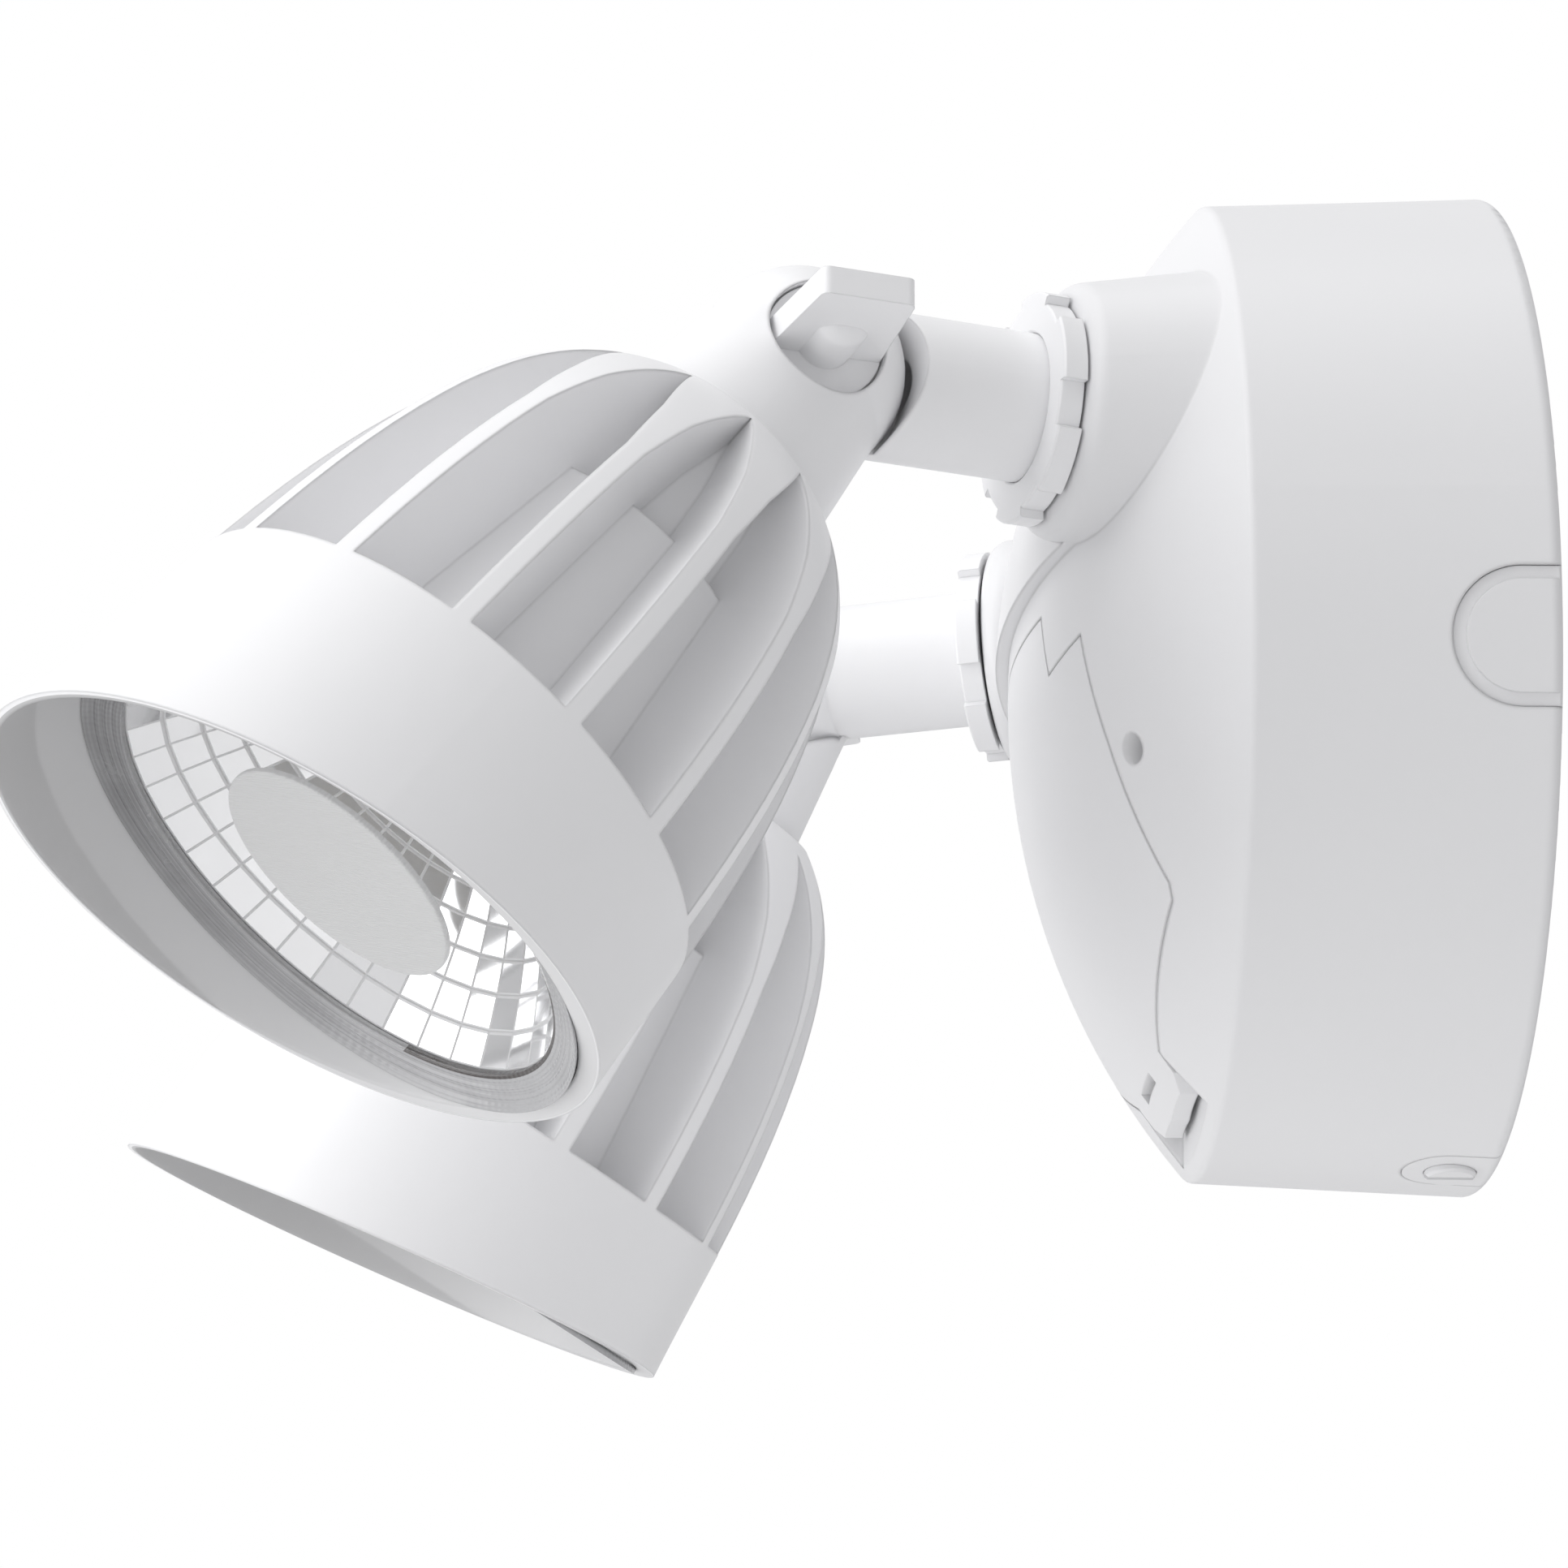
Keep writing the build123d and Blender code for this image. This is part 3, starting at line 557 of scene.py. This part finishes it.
def turned_ring(points, steps):
    """Closed ring from a closed (radius, height) outline, spun round Z."""
    first = points[0]
    obj = added(bpy.ops.mesh.primitive_plane_add, size=MM, location=(first[0], 0, first[1]))
    bpy.ops.object.transform_apply(location=True, rotation=True, scale=True)
    choose(obj, "VERT", lambda vertex: True)
    bpy.ops.mesh.merge(type="CENTER")
    for here, point in zip(points, points[1:]):
        step = (point[0] - here[0], 0, point[1] - here[1])
        bpy.ops.mesh.extrude_region_move(TRANSFORM_OT_translate={"value": step})
    finish_edit()
    last = len(points) - 1
    choose(obj, "VERT", lambda vertex: vertex.index in (0, last))
    bpy.ops.mesh.edge_face_add()
    bpy.ops.mesh.select_all(action="SELECT")
    bpy.ops.mesh.spin(steps=steps, angle=2 * math.pi, center=(0, 0, 0), axis=(0, 0, 1))
    finish_edit()
    return recalculated(obj)


# ---------------------------------------------------------------- where the heads are
def middle(node):
    low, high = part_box(node)
    return (low + high) / 2


def joint(name):
    return next(j for j in frame["joints"] if j["name"] == name)


def head_matrix(side):
    """Frame of a head: Z along its axis from the hinge plane, X along the hinge, Y toward its top."""
    source = middle(f"led_array_{side}")
    along = (middle(f"diffuser_{side}") - source).normalized()
    hinge = Vector(joint(f"head_tilt_{side}")["axis"]).normalized()
    top = along.cross(hinge).normalized()
    start = source - along * LED_MIDDLE_S
    turn = Matrix((hinge, top, along)).transposed().to_4x4()
    return Matrix.Translation(start) @ turn


# ---------------------------------------------------------------- what a user can change
class FinishSettings(bpy.types.PropertyGroup):
    canopy_color: FloatVectorProperty(
        name="Canopy white", description="Colour of the moulded canopy and its cover",
        subtype="COLOR", size=3, min=0.0, max=1.0, default=(0.77, 0.77, 0.78))
    cast_color: FloatVectorProperty(
        name="Casting white", description="Colour of the powder-coated heads and arms",
        subtype="COLOR", size=3, min=0.0, max=1.0, default=(0.87, 0.87, 0.88))
    canopy_roughness: FloatProperty(
        name="Canopy roughness", description="How matt the canopy is", subtype="FACTOR",
        min=0.0, max=1.0, default=0.42)
    cast_roughness: FloatProperty(
        name="Casting roughness", description="How matt the heads and arms are", subtype="FACTOR",
        min=0.0, max=1.0, default=0.40)
    edge_softness: FloatProperty(
        name="Edge softness", description="Rounding that light shows on the edges", subtype="DISTANCE",
        unit="LENGTH", min=0.0, max=0.003, default=0.0009, precision=5)


class OpticSettings(bpy.types.PropertyGroup):
    facet_columns: IntProperty(
        name="Facet columns", description="Mirror facets round the bowl", min=12, max=72, default=36)
    facet_rows: IntProperty(
        name="Facet rows", description="Mirror facets from the light source to the rim",
        min=4, max=20, default=9)
    bowl_radius: FloatProperty(
        name="Bowl radius", description="Radius of the bowl's rim", subtype="DISTANCE", unit="LENGTH",
        min=0.02, max=0.05, default=0.0360, precision=5)
    throat_radius: FloatProperty(
        name="Throat radius", description="Radius of the bowl at the light source", subtype="DISTANCE",
        unit="LENGTH", min=0.005, max=0.02, default=0.0106, precision=5)
    groove: FloatProperty(
        name="Groove", description="Width of the groove round each facet", subtype="DISTANCE",
        unit="LENGTH", min=0.0, max=0.001, default=0.00022, precision=6)
    puck_radius: FloatProperty(
        name="Disc radius", description="Radius of the frosted disc", subtype="DISTANCE", unit="LENGTH",
        min=0.005, max=0.03, default=0.0182, precision=5)


class StudioSettings(bpy.types.PropertyGroup):
    azimuth: FloatProperty(
        name="Azimuth", description="Camera's direction round the fixture", subtype="ANGLE", unit="ROTATION",
        default=math.radians(88.2))
    elevation: FloatProperty(
        name="Elevation", description="Camera's height angle", subtype="ANGLE", unit="ROTATION",
        default=math.radians(-22.0))
    distance: FloatProperty(
        name="Distance", description="Camera to the point it looks at", subtype="DISTANCE", unit="LENGTH",
        default=0.709)
    lens: FloatProperty(name="Lens", description="Focal length", subtype="DISTANCE_CAMERA", default=109.7)
    key_power: FloatProperty(
        name="Key light", description="Power of the key light", unit="POWER", default=3.2)
    backdrop: FloatVectorProperty(
        name="Backdrop", description="Colour behind the fixture", subtype="COLOR", size=3,
        min=0.0, max=1.0, default=(1.0, 1.0, 1.0))


# ---------------------------------------------------------------- operators
class FLOOD_OT_stage(bpy.types.Operator):
    """Camera, soft studio light and a plain pale floor"""

    bl_idname = "flood.stage"
    bl_label = "Studio"

    def execute(self, context):
        studio = context.scene.floodlight_studio
        self.camera(context, studio)
        self.lights()
        self.world(context, studio)
        floor = added(bpy.ops.mesh.primitive_plane_add, size=FLOOR_SIZE, location=FLOOR_SPOT)
        bpy.ops.object.transform_apply(location=True, rotation=True, scale=True)
        floor.name = "floor"
        clad(floor, pale_floor("pale_floor", (0.9, 0.9, 0.9)))
        return {"FINISHED"}

    def camera(self, context, studio):
        a, e = studio.azimuth, studio.elevation
        back = Vector((math.sin(a) * math.cos(e), -math.cos(a) * math.cos(e), math.sin(e)))
        right = Vector((math.cos(a), math.sin(a), 0))
        up = back.cross(right)
        target = Vector(AIM_POINT) - AIM_DROP * up
        data = bpy.data.cameras.new("camera")
        data.lens = studio.lens
        data.sensor_width = 36.0
        data.clip_start = 0.01
        camera = bpy.data.objects.new("camera", data)
        turn = Matrix((right, up, back)).transposed().to_4x4()
        camera.matrix_world = Matrix.Translation(target + back * studio.distance) @ turn
        context.scene.collection.objects.link(camera)
        context.scene.camera = camera

    def soft_box(self, name, spot, aim, size, power):
        data = bpy.data.lights.new(name, "AREA")
        data.shape = "RECTANGLE"
        data.size = data.size_y = size
        data.energy = power
        light = bpy.data.objects.new(name, data)
        spot = Vector(spot)
        facing = (spot - Vector(aim)).to_track_quat("Z", "Y").to_matrix().to_4x4()
        light.matrix_world = Matrix.Translation(spot) @ facing
        bpy.context.scene.collection.objects.link(light)

    def lights(self):
        key = bpy.context.scene.floodlight_studio.key_power
        for name, spot, aim, size, share in SOFT_BOXES:
            self.soft_box(name, spot, aim, size, key * share)

    def world(self, context, studio):
        world = bpy.data.worlds.new("studio")
        world.use_nodes = True
        tree = world.node_tree
        tree.nodes.clear()
        output = tree.nodes.new("ShaderNodeOutputWorld")
        choice = tree.nodes.new("ShaderNodeMixShader")
        path = tree.nodes.new("ShaderNodeLightPath")
        seen = tree.nodes.new("ShaderNodeBackground")
        seen.inputs["Color"].default_value = (*studio.backdrop, 1.0)
        lit = tree.nodes.new("ShaderNodeBackground")
        ramp = tree.nodes.new("ShaderNodeValToRGB")
        place = tree.nodes.new("ShaderNodeTexCoord")
        lean = tree.nodes.new("ShaderNodeVectorMath")
        lean.operation = "DOT_PRODUCT"
        lean.inputs[1].default_value = Vector(SKY_LEAN).normalized()
        lift = tree.nodes.new("ShaderNodeMapRange")
        lift.inputs["From Min"].default_value = -1.0
        tree.links.new(place.outputs["Generated"], lean.inputs[0])
        tree.links.new(lean.outputs["Value"], lift.inputs["Value"])
        tree.links.new(lift.outputs[0], ramp.inputs[0])
        while len(ramp.color_ramp.elements) < len(SKY_STOPS):
            ramp.color_ramp.elements.new(0.5)
        for element, (position, grey) in zip(ramp.color_ramp.elements, SKY_STOPS):
            element.position = position
            element.color = (grey, grey, grey * 1.01, 1.0)
        tree.links.new(ramp.outputs[0], lit.inputs["Color"])
        lit.inputs["Strength"].default_value = SKY_STRENGTH
        tree.links.new(path.outputs["Is Camera Ray"], choice.inputs[0])
        tree.links.new(lit.outputs[0], choice.inputs[1])
        tree.links.new(seen.outputs[0], choice.inputs[2])
        tree.links.new(choice.outputs[0], output.inputs[0])
        context.scene.world = world
        context.scene.view_settings.view_transform = "Standard"


class FLOOD_OT_mouldings(bpy.types.Operator):
    """Finish of the canopy, its cover, plugs and screws"""

    bl_idname = "flood.mouldings"
    bl_label = "Canopy mouldings"

    def execute(self, context):
        look = context.scene.floodlight
        white = moulded_white("canopy_white", look.canopy_color, look.canopy_roughness, look.edge_softness)
        fine = moulded_white("plug_white", look.canopy_color, look.canopy_roughness, look.edge_softness * 0.4)
        painted = powder_coat("screw_white", look.canopy_color, 0.34, 0.0002)
        for node, material in (("canopy_shell", white), ("service_cover", fine), ("side_cap_right", fine),
                               ("side_cap_left", fine), ("bottom_cap", fine), ("bottom_screw", painted)):
            clad(frame["nodes"][node], material)
        return {"FINISHED"}


class FLOOD_OT_castings(bpy.types.Operator):
    """Powder coat of the heads, arms, locknuts and wing screws"""

    bl_idname = "flood.castings"
    bl_label = "Castings"

    def execute(self, context):
        look = context.scene.floodlight
        coat = powder_coat("casting_white", look.cast_color, look.cast_roughness, look.edge_softness)
        crisp = powder_coat("nut_white", look.cast_color, look.cast_roughness, look.edge_softness * 0.35)
        for side in SIDES:
            # each head's coat carries painted shade inside its hood
            hood = powder_coat(f"hood_white_painted_shade_{side}", look.cast_color, look.cast_roughness,
                               look.edge_softness, head_matrix(side))
            clad(frame["nodes"][f"head_housing_{side}"], hood)
            clad(frame["nodes"][f"arm_{side}"], coat)
            clad(frame["nodes"][f"locknut_{side}"], crisp)
            clad(frame["nodes"][f"thumb_screw_{side}"], crisp)
        return {"FINISHED"}


class FLOOD_OT_insides(bpy.types.Operator):
    """Finish of everything behind the canopy and inside the arms"""

    bl_idname = "flood.insides"
    bl_label = "Insides and hardware"

    def execute(self, context):
        screw = zinc("zinc_screw", (0.72, 0.73, 0.74))
        rubber = black_rubber("seal_rubber", (0.035, 0.035, 0.04))
        board = circuit_board("solder_mask", (0.02, 0.14, 0.06))
        finishes = {
            "wall_gasket": foam("gasket_foam", (0.06, 0.06, 0.065)),
            "mounting_plate": zinc("plate_zinc", (0.66, 0.67, 0.68)),
            "ground_screw": dyed_screw("ground_green", (0.03, 0.25, 0.07)),
            "driver_housing": driver_case("driver_case", (0.62, 0.62, 0.62)),
            "terminal_block": glossy_block("terminal_grey", (0.30, 0.31, 0.33)),
            "driver_board": board, "control_board": board, "canopy_screws": screw,
            "driver_screws": screw, "terminal_screws": screw}
        for side in SIDES:
            finishes[f"arm_seal_{side}"] = rubber
            finishes[f"lens_gasket_{side}"] = rubber
            finishes[f"tilt_nut_{side}"] = screw
            finishes[f"board_screws_{side}"] = screw
        for node, material in finishes.items():
            clad(frame["nodes"][node], material)
        return {"FINISHED"}


class FLOOD_OT_sources(bpy.types.Operator):
    """Light-source board and its phosphor disc"""

    bl_idname = "flood.sources"
    bl_label = "Light sources"

    def execute(self, context):
        white = source_board("source_board", (0.80, 0.80, 0.78))
        yellow = phosphor("phosphor", (0.86, 0.62, 0.16))
        for side in SIDES:
            clad(frame["nodes"][f"led_board_{side}"], white)
            clad(frame["nodes"][f"led_array_{side}"], yellow)
        return {"FINISHED"}


class FLOOD_OT_bowls(bpy.types.Operator):
    """Mirror bowls with rows of pressed facets"""

    bl_idname = "flood.bowls"
    bl_label = "Faceted bowls"

    def execute(self, context):
        optic = context.scene.floodlight_optics
        small, large = optic.throat_radius, optic.bowl_radius
        rate = (large ** 2 - small ** 2) / (BOWL_RIM_S - BOWL_START_S)
        radii = [small + (large - small) * k / optic.facet_rows for k in range(optic.facet_rows + 1)]
        bowl = added(bpy.ops.mesh.primitive_circle_add, vertices=optic.facet_columns, radius=small,
                     fill_type="NOTHING", location=(0, 0, BOWL_START_S))
        bpy.ops.object.transform_apply(location=True, rotation=True, scale=True)
        bpy.ops.object.mode_set(mode="EDIT")
        bpy.ops.mesh.select_all(action="SELECT")
        height = BOWL_START_S
        for before, after in zip(radii, radii[1:]):
            level = BOWL_START_S + (after ** 2 - small ** 2) / rate
            bpy.ops.mesh.extrude_edges_move(TRANSFORM_OT_translate={"value": (0, 0, level - height)})
            grow = after / before
            bpy.ops.transform.resize(value=(grow, grow, 1), center_override=(0, 0, level))
            height = level
        bpy.ops.mesh.extrude_edges_move(TRANSFORM_OT_translate={"value": (0, 0, 0)})
        bpy.ops.transform.resize(value=(BOWL_LIP, BOWL_LIP, 1), center_override=(0, 0, height))
        bpy.ops.mesh.select_all(action="SELECT")
        bpy.ops.mesh.normals_make_consistent(inside=True)
        finish_edit()
        if bowl.data.polygons[0].normal.z < 0 or self.looks_out(bowl):
            choose(bowl, "FACE", lambda face: True)
            bpy.ops.mesh.flip_normals()
            finish_edit()
        modified(bowl, "SOLIDIFY", thickness=BOWL_WALL, offset=-1.0, use_even_offset=True)
        inner = [p.index for p in bowl.data.polygons if self.is_facet(p)]
        chosen = set(inner)
        choose(bowl, "FACE", lambda face: face.index in chosen)
        bpy.ops.mesh.inset(thickness=optic.groove, depth=0.00012, use_individual=True)
        finish_edit()
        bowl.name = "bowl_right"
        twin = copied(bowl, "bowl_left")
        for side, piece in (("right", bowl), ("left", twin)):
            seated(piece, head_matrix(side))
            silver = mirror_facets(f"mirror_facets_{side}", (0.93, 0.93, 0.94), head_matrix(side), optic)
            clad(piece, silver)
            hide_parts(f"reflector_{side}")
            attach(piece, f"head_body_{side}")
        return {"FINISHED"}

    def looks_out(self, bowl):
        face = bowl.data.polygons[0]
        return face.normal.x * face.center.x + face.normal.y * face.center.y > 0

    def is_facet(self, face):
        inward = face.normal.x * face.center.x + face.normal.y * face.center.y < 0
        return inward and 0.15 < face.normal.z < 0.98


class FLOOD_OT_lenses(bpy.types.Operator):
    """Clear window, its grey ribbed edge and the frosted disc"""

    bl_idname = "flood.lenses"
    bl_label = "Lenses"

    def execute(self, context):
        optic = context.scene.floodlight_optics
        window = self.window()
        skirt = self.skirt()
        puck = self.puck(optic)
        glass = clear_lens("clear_lens", (0.95, 0.96, 0.97))
        twins = {"right": (window, skirt, puck)}
        twins["left"] = (copied(window, "window_left"), copied(skirt, "lens_edge_left"),
                         copied(puck, "puck_left"))
        for side in SIDES:
            place = head_matrix(side)
            pane, edge, disc = twins[side]
            for piece in (pane, edge, disc):
                seated(piece, place)
                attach(piece, f"head_body_{side}")
            clad(pane, glass)
            clad(edge, lens_skirt(f"lens_edge_{side}", (0.40, 0.40, 0.41), place))
            clad(disc, frosted_puck(f"frosted_{side}", (0.56, 0.56, 0.56), place))
            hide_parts(f"lens_{side}")
            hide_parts(f"diffuser_{side}")
        return {"FINISHED"}

    def window(self):
        """Thin round pane, its rim bevelled."""
        pane = added(bpy.ops.mesh.primitive_cylinder_add, vertices=ROUND_SECTIONS, radius=WINDOW_R,
                     depth=WINDOW_T, location=(0, 0, LENS_BACK_S + 0.8 * MM))
        bpy.ops.object.transform_apply(location=True, rotation=True, scale=True)
        modified(pane, "BEVEL", width=0.00025, segments=2, limit_method="ANGLE")
        pane.name = "window_right"
        return pane

    def skirt(self):
        """Stepped grey ring from the bowl's rim out to the hood wall."""
        outline = [(radius * MM, station * MM) for radius, station in LENS_EDGE_STEPS + LENS_EDGE_SEAT]
        ring = turned_ring(outline, RING_SECTIONS)
        modified(ring, "BEVEL", width=0.00012, segments=1, limit_method="ANGLE", angle_limit=math.radians(35))
        ring.name = "lens_edge_right"
        return ring

    def puck(self, optic):
        disc = added(bpy.ops.mesh.primitive_cylinder_add, vertices=ROUND_SECTIONS,
                     radius=optic.puck_radius, depth=PUCK_T, location=(0, 0, LENS_BACK_S - 0.3 * MM))
        bpy.ops.object.transform_apply(location=True, rotation=True, scale=True)
        modified(disc, "BEVEL", width=0.0003, segments=3, limit_method="ANGLE")
        disc.name = "puck_right"
        return disc


class FLOOD_PT_panel(bpy.types.Panel):
    """Buttons that build the fixture"""

    bl_label = "Floodlight"
    bl_idname = "FLOOD_PT_panel"
    bl_space_type = "VIEW_3D"
    bl_region_type = "UI"
    bl_category = "Floodlight"

    def draw(self, context):
        column = self.layout.column()
        for operator in OPERATORS:
            column.operator(operator.bl_idname)
        for group in ("floodlight", "floodlight_optics", "floodlight_studio"):
            box = self.layout.box()
            values = getattr(context.scene, group)
            for name in values.__annotations__:
                box.prop(values, name)


OPERATORS = (FLOOD_OT_stage, FLOOD_OT_mouldings, FLOOD_OT_castings, FLOOD_OT_insides, FLOOD_OT_sources,
             FLOOD_OT_bowls, FLOOD_OT_lenses)
CLASSES = (FinishSettings, OpticSettings, StudioSettings, *OPERATORS, FLOOD_PT_panel)


def register():
    for cls in CLASSES:
        bpy.utils.register_class(cls)
    bpy.types.Scene.floodlight = PointerProperty(type=FinishSettings)
    bpy.types.Scene.floodlight_optics = PointerProperty(type=OpticSettings)
    bpy.types.Scene.floodlight_studio = PointerProperty(type=StudioSettings)


def unregister():
    del bpy.types.Scene.floodlight_studio
    del bpy.types.Scene.floodlight_optics
    del bpy.types.Scene.floodlight
    for cls in reversed(CLASSES):
        bpy.utils.unregister_class(cls)


def main():
    register()
    bpy.ops.flood.stage()
    bpy.ops.flood.mouldings()
    bpy.ops.flood.castings()
    bpy.ops.flood.insides()
    bpy.ops.flood.sources()
    bpy.ops.flood.bowls()
    bpy.ops.flood.lenses()


if __name__ == "__main__":
    main()
